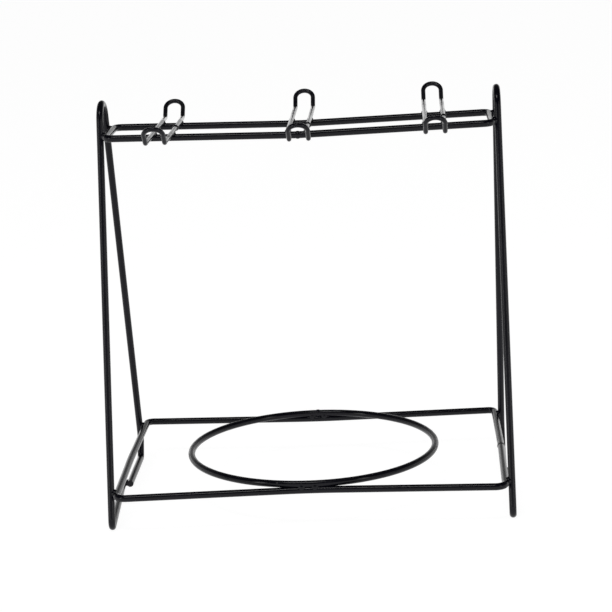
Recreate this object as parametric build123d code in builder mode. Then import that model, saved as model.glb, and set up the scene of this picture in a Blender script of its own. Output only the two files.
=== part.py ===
from build123d import *
import os
from math import atan, cos, radians, sin, tan

# Wire mug tree: two A-shaped side frames carry a base frame with a saucer ring
# and a narrow top rack, across which three double-ended cup hooks are welded.
# Millimetres. X runs from the left side frame to the right one, Y from front to
# back, Z up. The origin is the middle of the footprint, on the floor.

# Driving dimensions. Wire positions are centrelines unless stated otherwise.
frame_wire_d = 4.3
hook_wire_d = 2.85
overall_height = 252.0
side_frame_spacing = 241.5
base_height = 22.8
rack_height = 231.6  # at the side frames
weld_sink = 0.3  # how far one welded wire is pressed into the other

# Side frames
leg_lean = 15.55  # degrees from the vertical
apex_radius = 12.2
foot_radius = 4.5
rear_foot_tuck = 10.0  # how far the rear foot is bent in from the line of its leg
tuck_height = 15.5
tuck_radius = 8.0
lap_middle_y = 14.0
lap_length = 5.0
lap_gap = 0.1
lap_joggle = 6.0
lap_joggle_radius = 60.0

# How far the front wire end stands outside the plane of the legs, for the left and
# the right side frame
lap_outward = {-1: 4.6, 1: 3.2}

# Base frame and saucer ring
base_depth = 166.0
base_front_corner_radius = 6.0
base_rear_corner_radius = 4.0
base_bow = 6.2
base_bow_radius = 300.0
base_side_bow = 0.8
base_side_radius = 1000.0
ring_radius = 77.1
ring_x = -1.0
ring_sink = 0.6  # how far the ring is pressed into the base frame

# Top rack
rack_depth = 47.0
rack_corner_radius = 5.0
rack_sag = 2.3
rack_sag_radius = 150.0

# Cup hooks
hook_places = {"hook_left": -81.0, "hook_center": 0.0, "hook_right": 82.4}
hook_arm_gap = 11.3
hook_length = 136.0  # between the upward bends of its two ends
hook_tip_reach = 9.8
hook_tip_rise = 9.6
hook_tip_flat = 0.1
hook_bend_radius = 3.2
hook_arm_radius = 60.0

# Sideways and upward set of each hook's front and rear end, from hand bending
hook_sets = {
    "hook_left": ((0.0, 0.2), (-3.4, -4.1)),
    "hook_center": ((3.0, 0.8), (0.0, 0.6)),
    "hook_right": ((0.0, 0.2), (0.0, 0.2)),
}

# Weld beads, as radii of the balls that they are cut from
bead_turn = 30.0
hook_bead = 2.0
frame_bead = 2.65
ring_bead = 2.55
ring_bead_offset = 4.0
frame_butt_bead = 2.45
hook_butt_bead = 2.0
hook_butt_y = -7.0
lap_bead = 1.6
lap_bead_length = 3.6

# Derived dimensions
foot_z = frame_wire_d / 2
apex_z = overall_height - frame_wire_d / 2 + apex_radius * (1 / sin(radians(leg_lean)) - 1)
side_frame_x = side_frame_spacing / 2
inner_x = side_frame_x - frame_wire_d + weld_sink
ring_z = base_height + frame_wire_d - ring_sink
rack_bar_y = rack_depth / 2
arm_offset = hook_arm_gap / 2


def leg_y(height):
    """Distance of a leg's centreline from the middle plane at a height."""
    return (apex_z - height) * tan(radians(leg_lean))


def bow_middle(rise, run, radius):
    """How far a bowed bar's middle is from the line of its ends, where it bends."""
    half_turn = atan(rise / run)
    return rise - radius * (1 / cos(half_turn) - 1)


def rack_z(x):
    """Centreline height of the sagging rack bars at a place along them."""
    return rack_height - rack_sag * (1 - abs(x) / inner_x)


def hook_z(x):
    """Centreline height of the hook arms where they lie across the rack bars."""
    return rack_z(x) + (frame_wire_d + hook_wire_d) / 2 - weld_sink


def lap_x(side):
    """Centrelines of the outer and the inner wire end in a side frame's lap."""
    outer_x = side * (side_frame_x + lap_outward[side])
    return outer_x, outer_x - side * (frame_wire_d + lap_gap)


def side_frame(side):
    """One wire bent to an A, from cut end to cut end, with its rear foot bent in a little.

    The two ends lie side by side in the bottom bar for the length of the lap.
    """
    outer_x, inner_lap_x = lap_x(side)
    leg_x = side * side_frame_x
    foot_y = leg_y(foot_z)
    lap_front = lap_middle_y - lap_length / 2
    lap_rear = lap_middle_y + lap_length / 2
    rear_bends = [tuck_radius, foot_radius, lap_joggle_radius]
    bends = [lap_joggle_radius, foot_radius, apex_radius] + rear_bends
    with BuildLine() as path:
        FilletPolyline(
            (outer_x, lap_rear, foot_z),
            (outer_x, lap_front - lap_joggle, foot_z),
            (leg_x, -foot_y, foot_z),
            (leg_x, 0, apex_z),
            (leg_x, leg_y(tuck_height), tuck_height),
            (leg_x, foot_y - rear_foot_tuck, foot_z),
            (inner_lap_x, lap_rear + lap_joggle, foot_z),
            (inner_lap_x, lap_front, foot_z),
            radius=bends,
        )
    with BuildPart() as frame:
        with BuildSketch(Plane(origin=path.line @ 0, z_dir=path.line % 0)):
            Circle(frame_wire_d / 2)
        sweep(path=path.line)
    return frame.part


def wire_loop(half, bends):
    """A closed loop of frame wire, from half its corners and the radius of every bend.

    The other corners are half a turn away.
    """
    corners = half + [(-x, -y, z) for x, y, z in half]
    with BuildLine() as path:
        FilletPolyline(*corners, radius=bends, close=True)
    start = path.edges()[0]
    with BuildPart() as loop:
        with BuildSketch(Plane(origin=start @ 0, z_dir=start % 0)):
            Circle(frame_wire_d / 2)
        sweep(path=path.wire())
    return loop.part


def base_corners():
    """The base frame's rear bar and left bar: the long one bows in, the short one out."""
    rear_y = base_depth / 2
    spread = base_side_bow * (rear_y - base_crossing_y) / base_crossing_y
    return [
        (inner_x - spread, rear_y, base_height),
        (0, rear_y - base_bow, base_height),
        (spread - inner_x, rear_y, base_height),
        (-inner_x - base_side_bow, 0, base_height),
    ]


def rack_corners():
    """The top rack's rear bar, which sags to its middle."""
    return [
        (inner_x, rack_bar_y, rack_z(inner_x)),
        (0, rack_bar_y, rack_z(0)),
        (-inner_x, rack_bar_y, rack_z(inner_x)),
    ]


def hook_end(x, end, end_set):
    """Half a hook: out along one arm, round the raised tip and back along the other."""
    aside, lift = end_set
    z = hook_z(x)
    near_x = x + end * arm_offset
    far_x = x - end * arm_offset
    bar_y = end * rack_bar_y
    bend_y = end * hook_length / 2
    tip_y = bend_y + end * hook_tip_reach
    tip_z = z + lift + hook_tip_rise
    tip_radius = arm_offset - hook_tip_flat / 2
    bends = [hook_arm_radius, hook_bend_radius, tip_radius]
    with BuildLine() as path:
        FilletPolyline(
            (near_x, 0, z),
            (near_x, bar_y, z),
            (near_x + aside, bend_y, z + lift),
            (near_x + aside, tip_y, tip_z),
            (far_x + aside, tip_y, tip_z),
            (far_x + aside, bend_y, z + lift),
            (far_x, bar_y, z),
            (far_x, 0, z),
            radius=bends + bends[::-1],
        )
    with BuildPart() as half_loop:
        with BuildSketch(Plane(origin=path.line @ 0, z_dir=path.line % 0)):
            Circle(hook_wire_d / 2)
        sweep(path=path.line)
    return half_loop.part


def cup_hook(name):
    """Closed loop of two arms across the rack, turned up to a round tip at each end."""
    front_set, rear_set = hook_sets[name]
    with BuildPart() as hook:
        add(hook_end(hook_places[name], -1, front_set))
        add(hook_end(hook_places[name], 1, rear_set))
    return hook.part


def cut_to(piece, neighbours):
    """The piece with shallow seats pressed into it by the wires welded to it."""
    with BuildPart() as seated:
        add(piece)
        for neighbour in neighbours:
            add(neighbour, mode=Mode.SUBTRACT)
    return seated.part


def bead(place, radius, wires):
    """Metal squeezed out round a joint: a ball less the wires that it joins.

    The place is a plane across the joint, so the bead goes round the plane's normal. The
    ball is turned about that normal until its seam runs clear of the wires.
    """
    with BuildPart() as weld:
        with Locations(place):
            Sphere(radius, rotation=(0, 0, bead_turn))
        for wire in wires:
            add(wire, mode=Mode.SUBTRACT)
    return weld.part


def beads(places, radius, wires):
    """The beads of a set of like joints, as separate solids of one part."""
    with BuildPart() as welds:
        for place in places:
            add(bead(place, radius, wires))
    return welds.part


def lap_beads(wires):
    """One bead along the groove between the two lapped wire ends of each side frame."""
    places = [(sum(lap_x(side)) / 2, lap_middle_y, foot_z) for side in (-1, 1)]
    with BuildPart() as welds:
        with Locations(*places):
            Cylinder(lap_bead, lap_bead_length, rotation=(90, 0, 0))
        for wire in wires:
            add(wire, mode=Mode.SUBTRACT)
    return welds.part


def side_joints(height):
    """Where a loop at a height touches the four legs."""
    contact_x = side_frame_x - frame_wire_d / 2
    return [
        Plane((i * contact_x, j * leg_y(height), height), z_dir=(1, 0, 0))
        for i in (-1, 1)
        for j in (-1, 1)
    ]


def hook_joints():
    """Where the hook arms cross the rack bars."""
    arms = [x + i * arm_offset for x in hook_places.values() for i in (-1, 1)]
    contact = (frame_wire_d - weld_sink) / 2
    return [Plane((x, j * rack_bar_y, rack_z(x) + contact)) for x in arms for j in (-1, 1)]


def ring_joints():
    """Both sides of each place where the ring lies on a long bar of the base frame."""
    bar_y = base_depth / 2 - bow_middle(base_bow, inner_x, base_bow_radius)
    y = (ring_radius + bar_y) / 2
    z = (ring_z + base_height) / 2
    xs = [ring_x - ring_bead_offset, ring_x + ring_bead_offset]
    return [Plane((x, j * y, z)) for x in xs for j in (-1, 1)]


# Wires as bent, before welding
base_crossing_y = leg_y(base_height)
side_frames = [side_frame(-1), side_frame(1)]
hooks = {name: cup_hook(name) for name in hook_places}
base_bends = [
    *(base_rear_corner_radius, base_bow_radius, base_rear_corner_radius, base_side_radius),
    *(base_front_corner_radius, base_bow_radius, base_front_corner_radius, base_side_radius),
]
base_loop = wire_loop(base_corners(), base_bends)
rack_bends = [rack_corner_radius, rack_sag_radius, rack_corner_radius]
rack_loop = wire_loop(rack_corners(), rack_bends * 2)
with BuildPart() as ring_loop:
    with Locations((ring_x, 0, ring_z)):
        Torus(ring_radius, frame_wire_d / 2)

# Wires as welded
base_frame = cut_to(base_loop, [*side_frames, ring_loop.part])
top_rack = cut_to(rack_loop, [*side_frames, *hooks.values()])

# Welds where two wires cross or lie together
hook_welds = beads(hook_joints(), hook_bead, [rack_loop, *hooks.values()])
rack_welds = beads(side_joints(rack_height), frame_bead, [rack_loop, *side_frames])
base_welds = beads(side_joints(base_height), frame_bead, [base_loop, *side_frames])
ring_welds = beads(ring_joints(), ring_bead, [base_loop, ring_loop.part])
foot_lap_welds = lap_beads(side_frames)

# Butt joints that close the loops of wire, one on each loop
base_side_x = inner_x + bow_middle(base_side_bow, base_crossing_y, base_side_radius)
base_butt = Plane((base_side_x, 0, base_height), z_dir=(0, 1, 0))
rack_butt = Plane((0, -rack_bar_y, rack_z(0)), z_dir=(1, 0, 0))
ring_butt = Plane((ring_x, ring_radius, ring_z), z_dir=(1, 0, 0))
hook_butts = [
    Plane((x + arm_offset, hook_butt_y, hook_z(x)), z_dir=(0, 1, 0))
    for x in hook_places.values()
]
base_butt_weld = bead(base_butt, frame_butt_bead, [base_loop])
rack_butt_weld = bead(rack_butt, frame_butt_bead, [rack_loop])
ring_butt_weld = bead(ring_butt, frame_butt_bead, [base_loop, ring_loop.part])
hook_butt_welds = beads(hook_butts, hook_butt_bead, hooks.values())

pieces = {
    "side_frame_left": side_frames[0],
    "side_frame_right": side_frames[1],
    "base_frame": base_frame,
    "saucer_ring": ring_loop.part,
    "top_rack": top_rack,
    **hooks,
    "hook_welds": hook_welds,
    "rack_welds": rack_welds,
    "base_welds": base_welds,
    "ring_welds": ring_welds,
    "foot_lap_welds": foot_lap_welds,
    "base_butt_weld": base_butt_weld,
    "rack_butt_weld": rack_butt_weld,
    "ring_butt_weld": ring_butt_weld,
    "hook_butt_welds": hook_butt_welds,
}
os.makedirs("parts", exist_ok=True)
for name, piece in pieces.items():
    piece.label = name
    export_step(piece, f"parts/{name}.step")
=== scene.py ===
from math import cos, radians, sin

import bmesh
import bpy
from mathutils import Matrix, Vector


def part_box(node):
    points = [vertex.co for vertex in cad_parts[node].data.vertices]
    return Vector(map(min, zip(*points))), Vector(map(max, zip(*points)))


# The wire mug tree in its gloss black coating, on a pale floor under soft light.
# Metres, in the frame of the CAD model: X left to right, Y front to back, Z up.

# Camera, with angles in degrees, and lens and sensor in millimetres
CAMERA_AT = Vector((0.07080, -1.30136, 0.41880))
CAMERA_YAW = -3.172
CAMERA_PITCH = 12.995
CAMERA_ROLL = -2.814
LENS = 126.07
SENSOR = 36.0

# Coating
BLACK = (0.0014, 0.0013, 0.0036, 1)
BLACK_LIGHT = (0.0036, 0.0034, 0.0066, 1)
RUBBED = (0.020, 0.020, 0.023, 1)
STEEL_CHIP = (0.20, 0.195, 0.19, 1)
COATING_IOR = 1.30
FRAME_GLOSS = 0.13  # roughness of the clean coating
HOOK_GLOSS = 0.1
WELD_GLOSS = 0.2
CLOUD_SCALE = 45.0
CLOUD_EDGES = (0.35, 0.7)
CLOUD_ROUGHNESS = 0.10
SPECK_SCALE = 520.0
SPECK_EDGES = (0.45, 0.75)
SPECK_ROUGHNESS = 0.12
PEEL_SCALE = 700.0
PEEL_DEPTH = 0.00003
WELD_PEEL_DEPTH = 0.0002
GRAIN_SCALE = 3150.0
GRAIN_DEPTH = 0.000004
FINISH_BUMP = 0.5
RUB_SCALE = 170.0
RUB_EDGES = (0.38, 0.62)
RUB_COVER = 0.75
RUB_ROUGHNESS = 0.14
RUB_DEPTH = 0.0008  # how far up a foot, or down the ring, the rubbing goes
HOOK_RUB_FADE = 0.012
HOOK_TOP_EDGES = (0.3, 0.9)
CHIP_SCALE = 330.0
CHIP_EDGES = (0.735, 0.75)
CHIP_COVER = 0.5
CHIP_RUBBED_COVER = 0.8  # what full rubbing adds to it
CHIP_DEPTH = 0.00012
CHIP_BUMP = 0.6

# Studio. The sky is lit by its height alone, from 0 at the horizon to 1 overhead.
FLOOR_RADIUS = 12.0
FLOOR_SEGMENTS = 96
FLOOR_GREY = (0.2, 0.2, 0.2, 1)
FLOOR_ROUGHNESS = 0.9
FLOOR_GLOW = 0.95
WHITE = (1, 1, 1, 1)
SKY_LEVEL = 0.05
HAZE_LEVEL = 0.4
HAZE_TOP = 0.55
HAZE_FULL = 0.22
BAND_LEVEL = 0.9
BAND_TOP = 0.26
BAND_FULL = 0.08
STRIP_AT = (1.5, -1.35, 0.75)
STRIP_AIM = (0, 0, 0.12)
STRIP_SIZE = (0.3, 1.1)
STRIP_LEFT_POWER = 4.5
STRIP_RIGHT_POWER = 3.0
TOP_AT = (-0.25, -0.9, 2.0)
TOP_AIM = (0, 0, 0.2)
TOP_SIZE = (0.9, 0.35)
TOP_POWER = 9.0


def link(tree, source, target):
    tree.links.new(source, target)


def node(tree, kind, **settings):
    """A new node with some of its properties and inputs set by name."""
    made = tree.nodes.new(kind)
    for name, value in settings.items():
        if hasattr(made, name):
            setattr(made, name, value)
        else:
            made.inputs[name].default_value = value
    return made


def value_of(tree, kind, *terms):
    """The output of a Math node on sockets or numbers."""
    made = tree.nodes.new("ShaderNodeMath")
    made.operation = kind
    for place, term in zip(made.inputs, terms):
        if isinstance(term, bpy.types.NodeSocket):
            link(tree, term, place)
        else:
            place.default_value = term
    return made.outputs[0]


def noise(tree, place, scale, detail, roughness=0.5):
    """Noise at a place, with its scale in cycles per metre."""
    made = node(tree, "ShaderNodeTexNoise", Scale=scale, Detail=detail, Roughness=roughness)
    link(tree, place, made.inputs["Vector"])
    return made.outputs["Fac"]


def ramp(tree, source, low, high):
    """0 below low and 1 above high, or the other way round where high is less."""
    made = node(tree, "ShaderNodeMapRange")
    made.interpolation_type = "SMOOTHSTEP"
    link(tree, source, made.inputs["Value"])
    made.inputs["From Min"].default_value = min(low, high)
    made.inputs["From Max"].default_value = max(low, high)
    made.inputs["To Min"].default_value = 0.0 if low < high else 1.0
    made.inputs["To Max"].default_value = 1.0 if low < high else 0.0
    return made.outputs["Result"]


def mix_colour(tree, amount, first, second):
    made = tree.nodes.new("ShaderNodeMix")
    made.data_type = "RGBA"
    link(tree, amount, made.inputs[0])
    for place, term in ((made.inputs[6], first), (made.inputs[7], second)):
        if isinstance(term, bpy.types.NodeSocket):
            link(tree, term, place)
        else:
            place.default_value = term
    return made.outputs[2]


def bump(tree, height, depth, strength, under=None, invert=False):
    """The normal of a height in 0 to 1, raised by a depth in metres over another bump."""
    made = node(tree, "ShaderNodeBump", Strength=strength, Distance=depth, invert=invert)
    link(tree, height, made.inputs["Height"])
    if under is not None:
        link(tree, under, made.inputs["Normal"])
    return made.outputs["Normal"]


def no_rub(tree, place):
    """No rubbing anywhere."""
    return 0.0


def coating(name, rub=no_rub, gloss=FRAME_GLOSS, peel_depth=PEEL_DEPTH):
    """Gloss black coating with orange peel, fine grain, clouds and sparse chips.

    Where rub says, the coating is rubbed in patches and its chips are stronger.
    """
    material = bpy.data.materials.new(name)
    material.use_nodes = True
    tree = material.node_tree
    shader = tree.nodes["Principled BSDF"]
    shader.inputs["IOR"].default_value = COATING_IOR
    place = tree.nodes.new("ShaderNodeTexCoord").outputs["Object"]
    cloud = ramp(tree, noise(tree, place, CLOUD_SCALE, 3.0), *CLOUD_EDGES)
    speck = ramp(tree, noise(tree, place, SPECK_SCALE, 4.0, 0.7), *SPECK_EDGES)
    mask = rub(tree, place)
    patches = ramp(tree, noise(tree, place, RUB_SCALE, 4.0, 0.65), *RUB_EDGES)
    rubbed = value_of(tree, "MULTIPLY", patches, mask)
    flakes = ramp(tree, noise(tree, place, CHIP_SCALE, 5.0, 0.6), *CHIP_EDGES)
    cover = value_of(tree, "MULTIPLY_ADD", mask, CHIP_RUBBED_COVER, CHIP_COVER)
    chips = value_of(tree, "MULTIPLY", flakes, cover)

    colour = mix_colour(tree, cloud, BLACK, BLACK_LIGHT)
    colour = mix_colour(tree, value_of(tree, "MULTIPLY", rubbed, RUB_COVER), colour, RUBBED)
    colour = mix_colour(tree, chips, colour, STEEL_CHIP)
    rough = value_of(tree, "MULTIPLY_ADD", cloud, CLOUD_ROUGHNESS, gloss)
    rough = value_of(tree, "MULTIPLY_ADD", speck, SPECK_ROUGHNESS, rough)
    rough = value_of(tree, "MULTIPLY_ADD", rubbed, RUB_ROUGHNESS, rough)
    normal = bump(tree, noise(tree, place, PEEL_SCALE, 1.5), peel_depth, FINISH_BUMP)
    normal = bump(tree, noise(tree, place, GRAIN_SCALE, 3.0), GRAIN_DEPTH, FINISH_BUMP, normal)
    normal = bump(tree, chips, CHIP_DEPTH, CHIP_BUMP, normal, invert=True)
    link(tree, colour, shader.inputs["Base Color"])
    link(tree, rough, shader.inputs["Roughness"])
    link(tree, normal, shader.inputs["Normal"])
    return material


def part_of(tree, vector, axis):
    """One of the three coordinates of a vector."""
    split = tree.nodes.new("ShaderNodeSeparateXYZ")
    link(tree, vector, split.inputs[0])
    return split.outputs[axis]


def height_rub(low, high):
    """Rubbing between two heights: full at high, none at low."""
    def mask(tree, place):
        return ramp(tree, part_of(tree, place, "Z"), low, high)
    return mask


def hook_rub(near, far):
    """Rubbing along the top of the hook arms, where cup handles slide on and off."""
    def mask(tree, place):
        normal = tree.nodes.new("ShaderNodeNewGeometry").outputs["Normal"]
        reach = ramp(tree, value_of(tree, "ABSOLUTE", part_of(tree, place, "Y")), near, far)
        top = ramp(tree, part_of(tree, normal, "Z"), *HOOK_TOP_EDGES)
        return value_of(tree, "MULTIPLY", reach, top)
    return mask


def paint(names, material):
    for name in names:
        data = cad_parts[name].data
        data.materials.clear()
        data.materials.append(material)


def stage_floor():
    """A wide pale floor at the height that the feet stand on."""
    mesh = bpy.data.meshes.new("floor")
    work = bmesh.new()
    bmesh.ops.create_circle(work, cap_ends=True, segments=FLOOR_SEGMENTS, radius=FLOOR_RADIUS)
    work.to_mesh(mesh)
    work.free()
    floor = bpy.data.objects.new("floor", mesh)
    bpy.context.scene.collection.objects.link(floor)
    floor.location.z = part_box("side_frame_left")[0].z
    material = bpy.data.materials.new("pale_floor")
    material.use_nodes = True
    shader = material.node_tree.nodes["Principled BSDF"]
    shader.inputs["Base Color"].default_value = FLOOR_GREY
    shader.inputs["Roughness"].default_value = FLOOR_ROUGHNESS
    shader.inputs["Specular IOR Level"].default_value = 0.0
    shader.inputs["Emission Color"].default_value = WHITE
    shader.inputs["Emission Strength"].default_value = FLOOR_GLOW
    mesh.materials.append(material)


def add_camera():
    """The camera, from its heading to the right of +Y, its dip and its roll, in degrees."""
    yaw, pitch, roll = radians(CAMERA_YAW), radians(CAMERA_PITCH), radians(CAMERA_ROLL)
    ahead = Vector((sin(yaw) * cos(pitch), cos(yaw) * cos(pitch), -sin(pitch)))
    right = Vector((cos(yaw), -sin(yaw), 0))
    up = right.cross(ahead)
    rolled_right = cos(roll) * right + sin(roll) * up
    rolled_up = cos(roll) * up - sin(roll) * right
    data = bpy.data.cameras.new("camera")
    data.lens = LENS
    data.sensor_width = SENSOR
    camera = bpy.data.objects.new("camera", data)
    bpy.context.scene.collection.objects.link(camera)
    turn = Matrix((rolled_right, rolled_up, -ahead)).transposed().to_4x4()
    camera.matrix_world = Matrix.Translation(CAMERA_AT) @ turn
    bpy.context.scene.camera = camera


def add_light(name, at, aim, size, power):
    """A rectangular softbox that faces a point."""
    data = bpy.data.lights.new(name, "AREA")
    data.shape = "RECTANGLE"
    data.size, data.size_y = size
    data.energy = power
    light = bpy.data.objects.new(name, data)
    bpy.context.scene.collection.objects.link(light)
    light.location = at
    light.rotation_euler = (Vector(aim) - Vector(at)).to_track_quat("-Z", "Y").to_euler()


def sky_part(tree, height, top, full, level):
    """Light of a level low in the sky, which fades out up to a height."""
    return value_of(tree, "MULTIPLY", ramp(tree, height, top, full), level)


def light_world():
    """A dim sky that is brighter towards the horizon, in a wide haze and a low band."""
    world = bpy.data.worlds.new("studio")
    bpy.context.scene.world = world
    world.use_nodes = True
    tree = world.node_tree
    direction = tree.nodes.new("ShaderNodeTexCoord").outputs["Generated"]
    height = part_of(tree, direction, "Z")
    band = sky_part(tree, height, BAND_TOP, BAND_FULL, BAND_LEVEL)
    haze = sky_part(tree, height, HAZE_TOP, HAZE_FULL, HAZE_LEVEL)
    level = value_of(tree, "ADD", value_of(tree, "ADD", band, haze), SKY_LEVEL)
    background = tree.nodes["Background"]
    background.inputs["Color"].default_value = WHITE
    link(tree, level, background.inputs["Strength"])


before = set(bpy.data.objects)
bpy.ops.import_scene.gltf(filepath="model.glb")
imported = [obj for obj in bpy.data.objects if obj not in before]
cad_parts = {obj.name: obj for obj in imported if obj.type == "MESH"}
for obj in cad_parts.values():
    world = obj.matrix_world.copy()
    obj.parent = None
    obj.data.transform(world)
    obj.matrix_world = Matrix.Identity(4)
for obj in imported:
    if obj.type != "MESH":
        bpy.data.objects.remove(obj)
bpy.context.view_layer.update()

add_camera()
side_frames = ["side_frame_left", "side_frame_right"]
paint(side_frames, coating("frame_coating", height_rub(RUB_DEPTH, 0.0)))
paint(["base_frame", "top_rack"], coating("rack_coating"))
ring_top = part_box("saucer_ring")[1].z
paint(["saucer_ring"], coating("ring_coating", height_rub(ring_top - RUB_DEPTH, ring_top)))
hooks = ["hook_left", "hook_center", "hook_right"]
rack_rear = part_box("top_rack")[1].y
arm_rub = hook_rub(rack_rear, rack_rear + HOOK_RUB_FADE)
paint(hooks, coating("hook_coating", arm_rub, gloss=HOOK_GLOSS))
welds = [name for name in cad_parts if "weld" in name]
paint(welds, coating("weld_coating", gloss=WELD_GLOSS, peel_depth=WELD_PEEL_DEPTH))

light_world()
stage_floor()
strip_x, strip_y, strip_z = STRIP_AT
add_light("strip_left", (-strip_x, strip_y, strip_z), STRIP_AIM, STRIP_SIZE, STRIP_LEFT_POWER)
add_light("strip_right", STRIP_AT, STRIP_AIM, STRIP_SIZE, STRIP_RIGHT_POWER)
add_light("top_softbox", TOP_AT, TOP_AIM, TOP_SIZE, TOP_POWER)

bpy.context.scene.view_settings.view_transform = "Standard"
